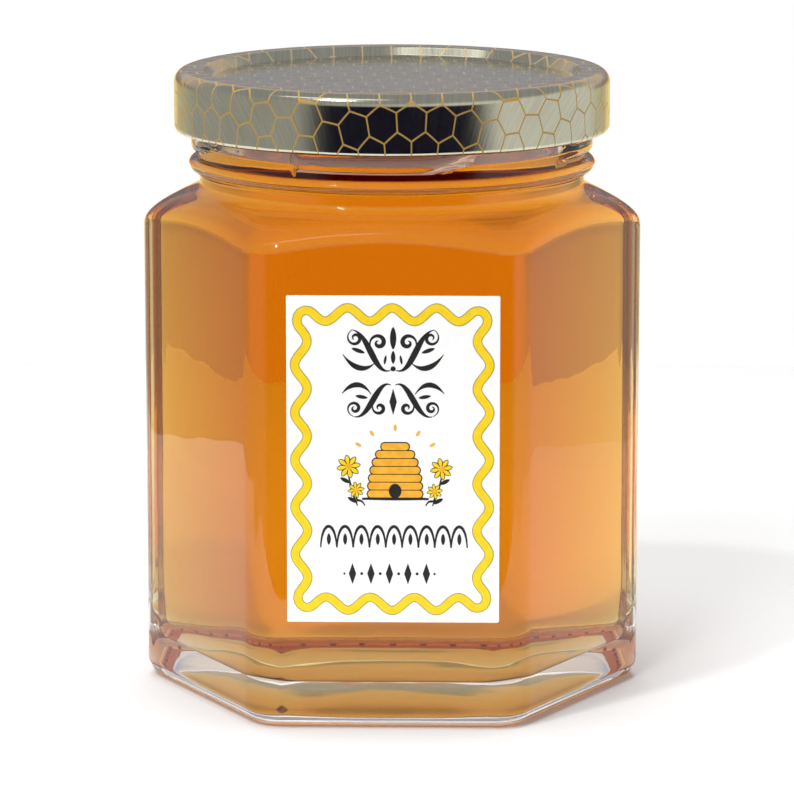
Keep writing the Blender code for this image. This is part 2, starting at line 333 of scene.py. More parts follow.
def make_surroundings():
    """The sky. Each pair of values is where a field of light starts to fade in and where it is full."""
    world = bpy.data.worlds.new("studio")
    bpy.context.scene.world = world
    world.use_nodes = True
    world.node_tree.nodes.clear()
    tree = Tree(world.node_tree)
    direction = tree.node("ShaderNodeTexCoord", output="Generated")
    x = tree.node("ShaderNodeSeparateXYZ", None, {0: direction})
    y, z = tree.other_output(x, 1), tree.other_output(x, 2)
    level = (x * x + y * y).root()
    sides = tree.mix(tree.step(x, *SIDE_TO_SIDE), LEFT_SIDE, RIGHT_SIDE)
    back = FLOOR_HAZE
    for start, full, colour in BACK_BANDS:
        back = tree.mix(tree.step(z, start, full), back, colour)
    room = tree.mix(tree.step(y / level, *SIDE_TO_BACK), sides, back)
    beyond = tree.step(y / level, *BEYOND_FLOOR_WIDTH) * tree.step(z, *BEYOND_FLOOR_TOP, 1.0, 0.0)
    room = tree.mix(beyond, room, BEYOND_FLOOR)
    room = tree.mix(tree.step(z, *CEILING_EDGE), room, CEILING)
    off_strip = abs(dot_product(STRIP_NORMAL, x, y, z))
    strip = tree.step(off_strip, *STRIP_HALF_WIDTH, 1.0, 0.0)
    strip = strip * tree.step(dot_product(STRIP_MIDDLE, x, y, z), *STRIP_ENDS)
    room = tree.mix(strip, room, STRIP_LIGHT)
    ray = tree.node("ShaderNodeLightPath", output="Is Camera Ray")
    through = tree.other_output(ray, "Is Transmission Ray")
    front = tree.mix(through, DARK_SIDE, DARK_SIDE_THROUGH)
    facing = (x * math.sin(DARK_SIDE_AZIMUTH) - y * math.cos(DARK_SIDE_AZIMUTH)) / level
    dark = tree.step(facing, *DARK_SIDE_WIDTH) * tree.step(z, *DARK_SIDE_TOP, 1.0, 0.0)
    colour = tree.mix(ray, tree.mix(dark, room, front), WHITE)
    light = tree.node("ShaderNodeBackground", None, {"Color": colour})
    tree.node("ShaderNodeOutputWorld", None, {"Surface": light})
    return world


make_surroundings()
bpy.context.scene.view_settings.view_transform = "Standard"
print("sky with", len(BACK_BANDS) + 1, "bands behind the jar")

# %% [markdown]
# Three square lamps do the rest. Two large soft panels light the label, the lid and the card. They would show
# as big white squares in the glass, so the jar neither mirrors them nor lets them be seen through it. The
# third is small, and its only task is the one bright spot on the shoulder.

# %% Lamps
LAMPS = {
    "ceiling_panel": ((0.0, 0.07, 0.55), (0.0, 0.07, 0.0), 0.36, 2.0, False),
    "front_panel": ((-0.22, -0.42, 0.40), (0.0, 0.0, 0.04), 0.30, 2.2, False),
    "key_lamp": ((-0.265, -0.339, 0.654), (0.0, 0.0, 0.03), 0.04, 1.2, True),
}


def make_lamp(name, place, aim, size, power, mirrored):
    """A square soft lamp aimed at a point. The jar mirrors it or not."""
    data = bpy.data.lights.new(name, "AREA")
    data.shape = "SQUARE"
    data.size = size
    data.energy = power
    lamp = bpy.data.objects.new(name, data)
    bpy.context.scene.collection.objects.link(lamp)
    lamp.location = place
    towards = Vector(aim) - Vector(place)
    lamp.rotation_euler = towards.to_track_quat("-Z", "Y").to_euler()
    lamp.visible_glossy = mirrored
    lamp.visible_transmission = mirrored
    return lamp


for name, facts in LAMPS.items():
    print(make_lamp(name, *facts).name, facts[3], "W")

# %% [markdown]
# The jar stands on a pale card that stops a hand's breadth in front of it. Honey throws its colour on what is
# under it, and that takes far more light paths than a render has time for. So that honey-coloured light is
# painted on the card: a hexagon of amber where the honey stands, a little smaller than the foot.

# %% Floor
FLOOR_FRONT = 0.108
FLOOR_BACK = 0.24
FLOOR_SIDE = 0.18
FLOOR_CORNER = 0.05
FLOOR_THICKNESS_BELOW = 0.004
# Painted light: the amber that the honey throws on the card under it, and where that painted light ends.
PAINTED_HONEY_LIGHT = (0.62, 0.22, 0.05, 1)
PAINTED_HONEY_LIGHT_EDGE = (APOTHEM - 4.5 * MM, APOTHEM - 2.8 * MM)


def floor_paint(tree):
    """Card with faint fibres, and painted honey-coloured light inside a hexagon."""
    x, y, z = tree.place()
    fibre = tree.noise(tree.vector(x, y, z), 900.0)
    card = tree.mix(fibre, (0.86, 0.86, 0.85, 1), (0.90, 0.90, 0.89, 1))
    slant_one = abs(x * math.cos(math.pi / 6) + y * math.sin(math.pi / 6))
    slant_two = abs(x * math.cos(math.pi / 6) - y * math.sin(math.pi / 6))
    from_axis = abs(y).higher(slant_one).higher(slant_two)
    return {"Base Color": tree.mix(tree.step(from_axis, *PAINTED_HONEY_LIGHT_EDGE), PAINTED_HONEY_LIGHT, card)}


def sheet_mesh(width, depth, middle, corner, segments, thickness):
    """A flat sheet with rounded corners whose top is at height 0, as an open bmesh."""
    mesh = bmesh.new()
    corners = []
    for x, y in ((1, 1), (-1, 1), (-1, -1), (1, -1)):
        corners.append(mesh.verts.new((x * width / 2, middle + y * depth / 2, 0.0)))
    mesh.faces.new(corners)
    bmesh.ops.bevel(mesh, geom=corners, offset=corner, segments=segments, affect="VERTICES")
    grown = bmesh.ops.extrude_face_region(mesh, geom=list(mesh.faces))
    for item in grown["geom"]:
        if isinstance(item, bmesh.types.BMVert):
            item.co.z -= thickness
    bmesh.ops.recalc_face_normals(mesh, faces=mesh.faces)
    return mesh


def make_floor():
    """A pale card just under the jar."""
    depth, middle = FLOOR_BACK + FLOOR_FRONT, (FLOOR_BACK - FLOOR_FRONT) / 2
    mesh = sheet_mesh(2 * FLOOR_SIDE, depth, middle, FLOOR_CORNER, 8, FLOOR_THICKNESS_BELOW)
    data = bpy.data.meshes.new("floor")
    mesh.to_mesh(data)
    mesh.free()
    data.materials.append(principled("floor_card", {"Roughness": 0.7}, floor_paint))
    floor = bpy.data.objects.new("floor", data)
    bpy.context.scene.collection.objects.link(floor)
    return floor


make_floor()
print("card", round(2 * FLOOR_SIDE / MM), "mm wide")

# %% [markdown]
# ## Formulas for the glass
#
# The jar was blown into a mould that is a hexagon below and round above. Its outside at any height and angle
# is the smaller of two radii: a hexagon with rounded corners, and a round neck that slopes out into a
# shoulder. Where both are nearly equal they are blended, which gives the soft arches over each panel. One
# formula for the outside and one for the inside are all that the glass and the honey need.


# %% Blends
def smooth_min(a, b, width):
    """The smaller of two lengths, rounded off where they are nearly equal."""
    near = max(width - abs(a - b), 0.0) / width
    return min(a, b) - near * near * width / 4


def smooth_max(a, b, width):
    """The larger of two lengths, rounded off where they are nearly equal."""
    return -smooth_min(-a, -b, width)


def smooth_step(value):
    """0 below 0, 1 above 1 and an even curve between."""
    t = min(max(value, 0.0), 1.0)
    return t * t * (3 - 2 * t)


def hexagon_radius(angle, apothem, corner):
    """Distance from the axis to the side of a hexagon whose corners are arcs of that radius."""
    off_panel = abs((angle - FRONT + SECTOR / 2) % SECTOR - SECTOR / 2)
    flat_end = math.atan((apothem - corner) * math.tan(SECTOR / 2) / apothem)
    if off_panel <= flat_end:
        return apothem / math.cos(off_panel)
    centre = (apothem - corner) / math.cos(SECTOR / 2)
    off_corner = SECTOR / 2 - off_panel
    across = centre * math.sin(off_corner)
    return centre * math.cos(off_corner) + math.sqrt(corner**2 - across**2)


def heel_inset(height, radius):
    """How far a rounded bottom edge is drawn in, at a height above the bottom."""
    if height >= radius:
        return 0.0
    return radius - math.sqrt(max(radius**2 - (radius - height) ** 2, 0.0))


corner_reach = hexagon_radius(FRONT + SECTOR / 2, APOTHEM, CORNER_RADIUS)
print("across corners", round(2 * corner_reach / MM, 1), "mm")


# %% Outside and inside of the glass
def bead_bulge(height):
    """The ring round the neck."""
    off = (height - BEAD_MIDDLE) / BEAD_HALF_WIDTH
    return BEAD_DEPTH * math.sqrt(1 - off * off) if abs(off) < 1 else 0.0


def lug_bulge(angle, height):
    """The raised thread lugs that hold the lid: level at first, then climbing to the right."""
    spacing = 2 * math.pi / LUG_COUNT
    along = (angle - LUG_START) % spacing
    length = LUG_RUN + LUG_RAMP
    if along > length:
        return 0.0
    middle = LUG_LOW + LUG_CLIMB * smooth_step((along - LUG_RUN) / LUG_RAMP)
    off = (height - middle) / LUG_HALF_WIDTH
    if abs(off) >= 1:
        return 0.0
    ends = smooth_step(along / LUG_END) * smooth_step((length - along) / LUG_END)
    return LUG_DEPTH * ends * math.sqrt(1 - off**4)


def shoulder_start(thickness):
    """Radius and height where the slope of the shoulder starts, that far inside the glass."""
    lean = math.atan(SHOULDER_DROP)
    return SHOULDER_START_RADIUS - thickness * math.sin(lean), SHOULDER_TOP - thickness * math.cos(lean)


def outer_radius(angle, height):
    """Outside of the glass at one angle and height."""
    inset = heel_inset(height, HEEL_RADIUS)
    body = hexagon_radius(angle, APOTHEM - inset, CORNER_RADIUS - inset)
    slope = SHOULDER_START_RADIUS + (SHOULDER_TOP - height) / SHOULDER_DROP
    neck = smooth_max(slope, NECK_RADIUS, NECK_FILLET)
    if height > BEAD_MIDDLE:
        neck = FINISH_RADIUS
    neck += bead_bulge(height) + lug_bulge(angle, height)
    return smooth_min(body, neck, SHOULDER_ROUNDING)


def inner_radius(angle, height, gap=0.0):
    """Inside of the glass. A negative gap reaches into the wall."""
    apothem = APOTHEM - WALL - gap
    corner = INNER_CORNER_RADIUS - gap
    inset = heel_inset(max(height - FLOOR_THICKNESS - gap, 0.0), INNER_HEEL_RADIUS)
    body = hexagon_radius(angle, apothem - inset, corner - inset)
    start, top = shoulder_start(SHOULDER_WALL + gap)
    slope = start + (top - height) / SHOULDER_DROP
    neck = smooth_max(slope, MOUTH_RADIUS - gap, NECK_FILLET)
    return smooth_min(body, neck, SHOULDER_ROUNDING)


corner_glass = outer_radius(FRONT + SECTOR / 2, 0.05) - inner_radius(FRONT + SECTOR / 2, 0.05)
print("glass at a corner", round(corner_glass / MM, 1), "mm thick")


# %% [markdown]
# ## Building a shell from rings
#
# A vessel is easiest as a stack of rings, each with its points at the same angles, joined by bands of faces.
# The points crowd together round the six corners, where the light bends most. The rings crowd together in the
# heel, the shoulder, the bead and the thread.

# %% Rings
CORNER_STEPS = 18
PANEL_STEPS = 16


def column_angles():
    """The angles of the mesh's columns."""
    flat_end = math.atan((APOTHEM - CORNER_RADIUS) * math.tan(SECTOR / 2) / APOTHEM)
    corner_width = SECTOR - 2 * flat_end
    angles = []
    for side in range(6):
        middle = FRONT + side * SECTOR
        angles += [middle + flat_end * (2 * i / PANEL_STEPS - 1) for i in range(PANEL_STEPS)]
        angles += [middle + flat_end + corner_width * i / CORNER_STEPS for i in range(CORNER_STEPS)]
    return angles


def evenly(low, high, count):
    """Evenly spaced values from low to high, both included."""
    return [low + (high - low) * i / (count - 1) for i in range(count)]


def arc_heights(low, radius, count):
    """Heights up a quarter circle that starts level."""
    return [low + radius * (1 - math.cos(math.pi / 2 * i / count)) for i in range(count)]


def round_heights(middle, half_width, count):
    """Heights across a half-round ridge, closer together at both of its edges."""
    return [middle - half_width * math.cos(math.pi * i / (count - 1)) for i in range(count)]


class Shell:
    """A mesh made of rings round the Z axis, from the middle of one end to the middle of the other."""

    def __init__(self, angles):
        self.mesh = bmesh.new()
        self.angles = angles
        self.last = None
        self.material = 0

    def ring(self, radius_at, height_at):
        """Adds a ring, and the band that joins it to the one before."""
        points = []
        for angle in self.angles:
            radius = radius_at(angle)
            height = height_at(radius) if callable(height_at) else height_at
            points.append(self.mesh.verts.new((radius * math.cos(angle), radius * math.sin(angle), height)))
        if self.last:
            count = len(points)
            for i in range(count):
                j = (i + 1) % count
                face = self.mesh.faces.new((self.last[i], self.last[j], points[j], points[i]))
                face.material_index = self.material
        self.last = points

    def cap(self, height):
        """Closes the last ring with triangles that meet on the axis."""
        middle = self.mesh.verts.new((0, 0, height))
        count = len(self.last)
        for i in range(count):
            face = self.mesh.faces.new((self.last[i], self.last[(i + 1) % count], middle))
            face.material_index = self.material

    def piece(self, name, materials, sharp=40):
        """The finished object, smooth shaded, riding on the jar."""
        bmesh.ops.recalc_face_normals(self.mesh, faces=self.mesh.faces)
        data = bpy.data.meshes.new(name)
        self.mesh.to_mesh(data)
        self.mesh.free()
        return finish_piece(name, data, materials, sharp)


def finish_piece(name, data, materials, sharp=40):
    """Gives a mesh its materials and smooth shading, and an object that rides on the jar."""
    for material in materials:
        data.materials.append(material)
    data.shade_smooth()
    data.set_sharp_from_angle(angle=math.radians(sharp))
    piece = bpy.data.objects.new(name, data)
    bpy.context.scene.collection.objects.link(piece)
    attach(piece, "root")
    print(name, len(data.polygons), "faces")
    return piece


# %% [markdown]
# ## Glass
#
# Jar glass is clear with a breath of green, and its surface is never quite flat: it froze while it was still
# moving, so reflections waver a little. A weak, broad noise in the normal does that.
#
# Where honey wets the inside there is one surface, not two, and glass and honey bend light almost alike. Two
# shells that both bend light there would mirror like an air gap, and a filled jar would look like an empty
# one with jelly in it. So the wetted side of the glass is fully transparent, and the honey's own side does
# the little bending that is left.
#
# The foot ring is rough, as the mould leaves it. It gathers orange light from the honey above by more paths
# than a render follows, so it glows a little by itself.

# %% Glass materials
GLASS_IOR = 1.52
HONEY_IOR = 1.49
GLASS_TINT = (0.985, 0.99, 0.985, 1)
GLASS = {"Base Color": GLASS_TINT, "IOR": GLASS_IOR, "Transmission Weight": 1.0}
WAVE_HEIGHT = 0.08 * MM
FROST_HEIGHT = 0.06 * MM


def wavy_paint(tree):
    """Broad, faint waves, longer up the jar than across it."""
    x, y, z = tree.place()
    waves = tree.noise(tree.vector(x, y, z * 0.5), 110.0, detail=1.0)
    return {"Normal": tree.bump(waves, 1.0, WAVE_HEIGHT)}


def frosted_paint(tree):
    """A fine grain, and a painted orange glow for the honey's light that it holds."""
    grain = tree.noise(tree.vector(*tree.place()), 1400.0)
    glow = tree.mix(grain, (0.80, 0.36, 0.16, 1), (0.86, 0.48, 0.26, 1))
    return {"Emission Color": glow, "Normal": tree.bump(grain, 0.6, FROST_HEIGHT)}


clear_glass = principled("jar_glass_clear", {**GLASS, "Roughness": 0.0}, wavy_paint)
# The frosted foot's emission is painted light: an orange glow for the honey's light in the foot ring.
frosted_glass = principled(
    "jar_glass_frosted", {**GLASS, "Roughness": 0.35, "Emission Strength": 0.26}, frosted_paint
)
wetted_glass = shader_material("jar_glass_wetted", "ShaderNodeBsdfTransparent", {})
print("glass bends light", GLASS_IOR, "times, honey", HONEY_IOR)

# %% [markdown]
# The vessel is one shell of rings. It starts in the middle of the pushed-up base, goes out to the foot ring,
# up the outside and over the lip, and comes down the bore to the middle of the inside floor. Each stretch of
# that way has a function of its own. Rings crowd together wherever the outline turns.

# %% Sizes of the vessel's rings
PUSH_UP_ROWS = 14
HEEL_ROWS = 10
PANEL_ROWS = 6
OUTER_SHOULDER_ROWS = 34
INNER_SHOULDER_ROWS = 26
BEAD_ROWS = 17
LUG_ROWS = 36
LIP_ROWS = 6
INNER_HEEL_ROWS = 12
FLOOR_ROWS = 9
FROSTED_HEIGHT = 0.7 * MM
CLEAR, WETTED, FROSTED = 0, 1, 2


def neck_foot(thickness, neck_radius):
    """Height at which the neck, or its bore, starts to curve out into the shoulder."""
    start, top = shoulder_start(thickness)
    return top + SHOULDER_DROP * (start - neck_radius + NECK_FILLET)


def inner_shoulder_heights(gap):
    """Heights up the inside of the shoulder, from the flat sides to the bore of the neck."""
    low = SHOULDER_BOTTOM - WALL - gap
    high = neck_foot(SHOULDER_WALL + gap, MOUTH_RADIUS - gap)
    return evenly(low, high, INNER_SHOULDER_ROWS)


def floor_height(radius, gap):
    """The inside floor, slightly crowned."""
    reach = APOTHEM - WALL - INNER_HEEL_RADIUS
    share = min(radius / reach, 1.0)
    return FLOOR_THICKNESS + gap + FLOOR_CROWN * (1 - share * share)


ROUNDEST = 0.999


def rounded_share(share, edge, corner):
    """A hexagon shrunk towards the axis, whose corners grow rounder as it shrinks."""
    rounded = corner + (edge - corner) * (1 - share)
    return lambda angle: hexagon_radius(angle, edge * share, rounded * share * ROUNDEST)


print("the neck starts", round(neck_foot(0.0, NECK_RADIUS) / MM, 1), "mm up")


# %% The vessel's stretches
def add_base(shell):
    """The dome under the base, from its middle out to the foot ring."""
    foot = APOTHEM - HEEL_RADIUS - FOOT_RING_WIDTH
    shares = [math.sin(math.pi / 2 * i / PUSH_UP_ROWS) for i in range(1, PUSH_UP_ROWS + 1)]
    for share in shares:
        rise = PUSH_UP_DEPTH * math.sqrt(max(1 - share * share, 0.0))
        shell.ring(rounded_share(share, foot, CORNER_RADIUS - HEEL_RADIUS), rise)
        if share == shares[0]:
            shell.cap(PUSH_UP_DEPTH)


def outside_heights():
    """Heights of the rings up the outside, from the shoulder's foot to the lip."""
    heights = evenly(SHOULDER_BOTTOM, neck_foot(0.0, NECK_RADIUS), OUTER_SHOULDER_ROWS)
    heights += round_heights(BEAD_MIDDLE, BEAD_HALF_WIDTH, BEAD_ROWS)
    lug_top = LUG_LOW + LUG_CLIMB + LUG_HALF_WIDTH
    heights += evenly(LUG_LOW - LUG_HALF_WIDTH, lug_top, LUG_ROWS)
    return heights + [GLASS_TOP - LIP_ROUNDING]


def add_outside(shell):
    """The frosted foot, then the clear outside up to the lip."""
    shell.material = FROSTED
    heel = arc_heights(0.0, HEEL_RADIUS, HEEL_ROWS)
    for height in heel + evenly(HEEL_RADIUS, SHOULDER_BOTTOM, PANEL_ROWS)[:-1]:
        shell.ring(lambda a, z=height: outer_radius(a, z), height)
        if height > FROSTED_HEIGHT:
            shell.material = CLEAR
    for height in outside_heights():
        shell.ring(lambda a, z=height: outer_radius(a, z), height)


def add_lip(shell):
    """Two quarter circles over the lip, from the outside to the bore."""
    low = GLASS_TOP - LIP_ROUNDING
    for i in range(1, LIP_ROWS + 1):
        turn = math.pi / 2 * i / LIP_ROWS
        radius = FINISH_RADIUS - LIP_ROUNDING * (1 - math.cos(turn))
        shell.ring(lambda a, r=radius: r, low + LIP_ROUNDING * math.sin(turn))
    for i in range(LIP_ROWS):
        turn = math.pi / 2 * i / LIP_ROWS
        radius = MOUTH_RADIUS + LIP_ROUNDING * (1 - math.sin(turn))
        shell.ring(lambda a, r=radius: r, low + LIP_ROUNDING * math.cos(turn))
    shell.ring(lambda a: MOUTH_RADIUS, low)
    shell.ring(lambda a: MOUTH_RADIUS, HONEY_LEVEL)


def inner_heights(gap):
    """Heights up the inside, from the floor to the bore of the neck."""
    low = FLOOR_THICKNESS + gap
    heel = arc_heights(low, INNER_HEEL_RADIUS, INNER_HEEL_ROWS) + [low + INNER_HEEL_RADIUS]
    return heel + inner_shoulder_heights(gap)


def floor_rings(gap):
    """Outlines of the rings on the inside floor, from the middle outwards."""
    edge = APOTHEM - WALL - gap - INNER_HEEL_RADIUS
    corner = INNER_CORNER_RADIUS - gap - INNER_HEEL_RADIUS
    return [rounded_share(i / FLOOR_ROWS, edge, corner) for i in range(1, FLOOR_ROWS)]


def add_inside(shell):
    """The wetted inside, from the honey's level down to the middle of the floor."""
    shell.material = WETTED
    for height in inner_heights(0.0)[::-1]:
        shell.ring(lambda a, z=height: inner_radius(a, z), height)
    for outline in floor_rings(0.0)[::-1]:
        shell.ring(outline, lambda r: floor_height(r, 0.0))
    shell.cap(FLOOR_THICKNESS + FLOOR_CROWN)


print(len(outside_heights()), "rings from the shoulder to the lip")


# %% The glass vessel
def make_glass():
    shell = Shell(column_angles())
    add_base(shell)
    add_outside(shell)
    add_lip(shell)
    add_inside(shell)
    glass = shell.piece("jar_glass", [clear_glass, wetted_glass, frosted_glass])
    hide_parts("glass_jar")
    return glass


make_glass()

# %% [markdown]
# ## Honey
#
# Honey takes light away as it passes through: a little red, more green, nearly all of the blue. That is a
# volume, not a surface colour, so thin places glow yellow and thick ones turn deep orange by themselves. Its
# sides reach a hair's breadth into the glass, so that no film of air shows. A trace of roughness stands for
# the fine haze of pollen, and the top is a real liquid surface that creeps up the glass at its edge.

# %% Honey materials
HONEY_HAZE = 0.06
HONEY_DENSITY = 100.0
HONEY_CLEAR = (0.932, 0.73, 0.10, 1)


def honey_filling(tree):
    return tree.node("ShaderNodeVolumeAbsorption", None, {"Color": HONEY_CLEAR, "Density": HONEY_DENSITY})


honey_side = shader_material(
    "jar_honey_body",
    "ShaderNodeBsdfGlass",
    {"Roughness": HONEY_HAZE, "IOR": HONEY_IOR / GLASS_IOR},
    filling=honey_filling,
)
honey_surface = principled(
    "jar_honey_surface",
    {"Base Color": WHITE, "Roughness": 0.03, "IOR": HONEY_IOR, "Transmission Weight": 1.0},
    filling=honey_filling,
)
print("from glass to honey light bends by", round(HONEY_IOR / GLASS_IOR, 3))

# %% The honey
WALL_OVERLAP = 0.04 * MM
MENISCUS = 0.6 * MM
MENISCUS_REACH = 1.2 * MM
SURFACE_SHARES = (0.97, 0.93, 0.88, 0.8, 0.5)


def make_honey():
    gap = -WALL_OVERLAP
    shell = Shell(column_angles())
    for i, outline in enumerate(floor_rings(gap)):
        shell.ring(outline, lambda r: floor_height(r, gap))
        if i == 0:
            shell.cap(FLOOR_THICKNESS + FLOOR_CROWN + gap)
    for height in inner_heights(gap):
        shell.ring(lambda a, z=height: inner_radius(a, z, gap), height)
    rim = MOUTH_RADIUS + WALL_OVERLAP
    shell.ring(lambda a: rim, HONEY_LEVEL)
    shell.material = 1
    for share in SURFACE_SHARES:
        height = HONEY_LEVEL - MENISCUS * (1 - math.exp(-(1 - share) * rim / MENISCUS_REACH))
        shell.ring(lambda a, s=share: rim * s, height)
    shell.cap(HONEY_LEVEL - MENISCUS)
    honey = shell.piece("jar_honey", [honey_side, honey_surface])
    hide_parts("honey")
    return honey


make_honey()

# %% [markdown]
# ## Growing shapes with Geometry Nodes
#
# The lid is one outline turned round an axis, and the label's print is made of strokes that follow paths.
# Both are rules rather than shapes, so Geometry Nodes grow them: a tree gets its sizes as named inputs, runs
# once, and its result is kept as a plain mesh. The same Tree class as in the materials writes them.


# %% A tree that grows a mesh
class Grower(Tree):
    """A Geometry Nodes tree with named inputs, run once."""

    def __init__(self, name, start):
        super().__init__(bpy.data.node_groups.new(name, "GeometryNodeTree"))
        self.start = start
        self.values = {}
        self.entry = self.tree.nodes.new("NodeGroupInput")
        self.shape = self.size("Start", None, "NodeSocketGeometry")

    def size(self, name, value, kind="NodeSocketFloat"):
        """A named input of the tree, and the value that it gets."""
        socket = self.tree.interface.new_socket(name, in_out="INPUT", socket_type=kind)
        if value is not None:
            self.values[socket.identifier] = value
        return Wire(self, self.entry.outputs[name])

    def grow(self, shape, material, second=None, selection=None):
        """Ends the tree with its materials, runs it and returns the closed mesh."""
        whole = self.node("GeometryNodeRealizeInstances", None, {"Geometry": shape})
        whole = self.node("GeometryNodeSetMaterial", None, {"Geometry": whole, "Material": material})
        if second:
            sockets = {"Geometry": whole, "Selection": selection, "Material": second}
            whole = self.node("GeometryNodeSetMaterial", None, sockets)
        self.tree.interface.new_socket("Mesh", in_out="OUTPUT", socket_type="NodeSocketGeometry")
        ending = self.tree.nodes.new("NodeGroupOutput")
        self.tree.links.new(whole.socket, ending.inputs[0])
        carrier = bpy.data.objects.new("carrier", self.start)
        bpy.context.scene.collection.objects.link(carrier)
        modifier = carrier.modifiers.new("grow", "NODES")
        modifier.node_group = self.tree
        for identifier, value in self.values.items():
            modifier[identifier] = value
        grown = carrier.evaluated_get(bpy.context.evaluated_depsgraph_get())
        data = bpy.data.meshes.new_from_object(grown)
        bpy.data.objects.remove(carrier)
        print(self.tree.name, "has", close_seams(data), "open edges")
        return data


SAME_PLACE = 0.001 * MM
TOO_SHORT = 0.0005 * MM


def close_seams(data):
    """Merges the points of seams and poles, turns every face outwards and counts the edges left open."""
    mesh = bmesh.new()
    mesh.from_mesh(data)
    bmesh.ops.remove_doubles(mesh, verts=mesh.verts, dist=SAME_PLACE)
    bmesh.ops.dissolve_degenerate(mesh, edges=mesh.edges, dist=TOO_SHORT)
    bmesh.ops.recalc_face_normals(mesh, faces=mesh.faces)
    open_edges = sum(1 for edge in mesh.edges if not edge.is_manifold)
    mesh.to_mesh(data)
    mesh.free()
    return open_edges


def chain_mesh(name, chains, facts=()):
    """Chains of points as a mesh of edges. Each fact is an attribute name and a value for every point."""
    points = [point for chain in chains for point in chain]
    edges = []
    first = 0
    for chain in chains:
        edges += [(first + i, first + i + 1) for i in range(len(chain) - 1)]
        first += len(chain)
    data = bpy.data.meshes.new(name)
    data.from_pydata(points, edges, [])
    for label, values in facts:
        data.attributes.new(label, "FLOAT", "POINT").data.foreach_set("value", values)
    return data


print("points closer than", SAME_PLACE / MM, "mm become one")


# %% [markdown]
# ## The lid
#
# A twist-off lid is pressed from a printed, lacquered sheet of tinplate. The honeycomb was printed while the
# sheet was still flat, so on the skirt it is drawn out and squeezed with the metal. A formula undoes the
# pressing: it gives, for a point on the lid, where that point lay on the flat blank, and the pattern and the
# brushed streaks are worked out there.

# %% Lid sizes
LID_METAL = 0.5 * MM
LID_SHOULDER_RADIUS = 1.7 * MM
CURL_RADIUS = 0.8 * MM
PANEL_RADIUS = 25.2 * MM
PANEL_RECESS = 1.3 * MM
STEP_WIDTH = 1.0 * MM
STEP_ROUNDING = 0.4 * MM
STEP_LEAN = math.atan2(PANEL_RECESS, STEP_WIDTH)
SHOULDER_CENTRE = (LID_RADIUS - LID_SHOULDER_RADIUS, LID_TOP - LID_SHOULDER_RADIUS)
CURL_CENTRE = (LID_RADIUS - CURL_RADIUS, LID_BOTTOM + CURL_RADIUS)
LID_SEGMENTS = 288
print("lid", round((LID_TOP - LID_BOTTOM) / MM, 1), "mm tall")

# %% [markdown]
# The print is fainter on the top panel than on the skirt, as in the photograph, and grows stronger over the
# step. The tinplate was brushed before it was lacquered: long streaks in colour, gloss and relief. Ink covers
# the metal, so the lines are less metallic and less shiny than what lies between them.

# %% Lid materials
CELL = 4.2 * MM
CELL_LINE = 0.026
LINE_BLUR = 0.008
CELL_TURN = math.radians(6.1)
CELL_SHIFT = 32.5 * MM
PANEL_PRINT = 0.35
PANEL_FADE = (24.6 * MM, 26.8 * MM)
STREAK_SCALE = 3200.0
STREAK_LENGTH = 0.045
STREAK_HEIGHT = 0.02 * MM
LACQUER_LIGHT = (0.66, 0.645, 0.50, 1)
LACQUER_DARK = (0.52, 0.51, 0.40, 1)
INK_OCHRE = (0.46, 0.27, 0.055, 1)


def blank_place(tree):
    """Where a point of the lid lay on the flat sheet before pressing, in metres."""
    x, y, z = tree.place()
    radius = (x * x + y * y).root().higher(0.0001)
    drawn = ((LID_TOP - PANEL_RECESS) - z).higher(0.0)
    blank = (radius * radius + drawn * (2 * LID_RADIUS)).root() / radius
    return x * blank, y * blank


def honeycomb_lines(tree, x, y):
    """1 on the printed lines and 0 inside the cells."""
    turned_x = (x * math.cos(CELL_TURN) + y * math.sin(CELL_TURN)) / CELL
    turned_y = (y * math.cos(CELL_TURN) - x * math.sin(CELL_TURN) + CELL_SHIFT) / CELL
    tall = math.sqrt(3)
    ax = turned_x % 1.0 - 0.5
    ay = turned_y % tall - tall / 2
    bx = (turned_x - 0.5) % 1.0 - 0.5
    by = (turned_y - tall / 2) % tall - tall / 2
    nearer = (ax * ax + ay * ay) < (bx * bx + by * by)
    cell_x = abs(bx + (ax - bx) * nearer)
    cell_y = abs(by + (ay - by) * nearer)
    edge = cell_x.higher(cell_x * 0.5 + cell_y * (tall / 2))
    return tree.step(edge, 0.5 - CELL_LINE - LINE_BLUR, 0.5 - CELL_LINE + LINE_BLUR)


def lid_paint(tree):
    """Brushed, lacquered tinplate with honeycomb lines printed on it."""
    x, y = blank_place(tree)
    strength = tree.step((x * x + y * y).root(), *PANEL_FADE, PANEL_PRINT, 1.0)
    lines = honeycomb_lines(tree, x, y) * strength
    brushed = tree.vector(x, y * STREAK_LENGTH, 0.0)
    streaks = tree.noise(brushed, STREAK_SCALE, detail=3.0, roughness=0.7)
    blotches = tree.noise(tree.vector(x, y, 0.0), 90.0)
    shade = tree.step(streaks * 0.75 + blotches * 0.25, 0.3, 0.7)
    lacquer = tree.mix(shade, LACQUER_DARK, LACQUER_LIGHT)
    return {
        "Base Color": tree.mix(lines, lacquer, INK_OCHRE),
        "Metallic": 1.0 - lines * 0.75,
        "Roughness": 0.1 + streaks * 0.12 + lines * 0.14,
        "Normal": tree.bump(streaks, 0.35, STREAK_HEIGHT),
    }


lid_outside = principled("jar_lid_lacquer", {}, lid_paint)
# The lining's emission is painted light: a faint pinkish glow for the light that reaches the inside of the lid
# through the glass.
lid_inside = principled(
    "jar_lid_lining",
    {
        "Base Color": (0.78, 0.70, 0.62, 1),
        "Roughness": 0.55,
        "Emission Color": (1.0, 0.62, 0.5, 1),
        "Emission Strength": 0.3,
    },
)
print("printed cells", round(CELL / MM, 1), "mm across")

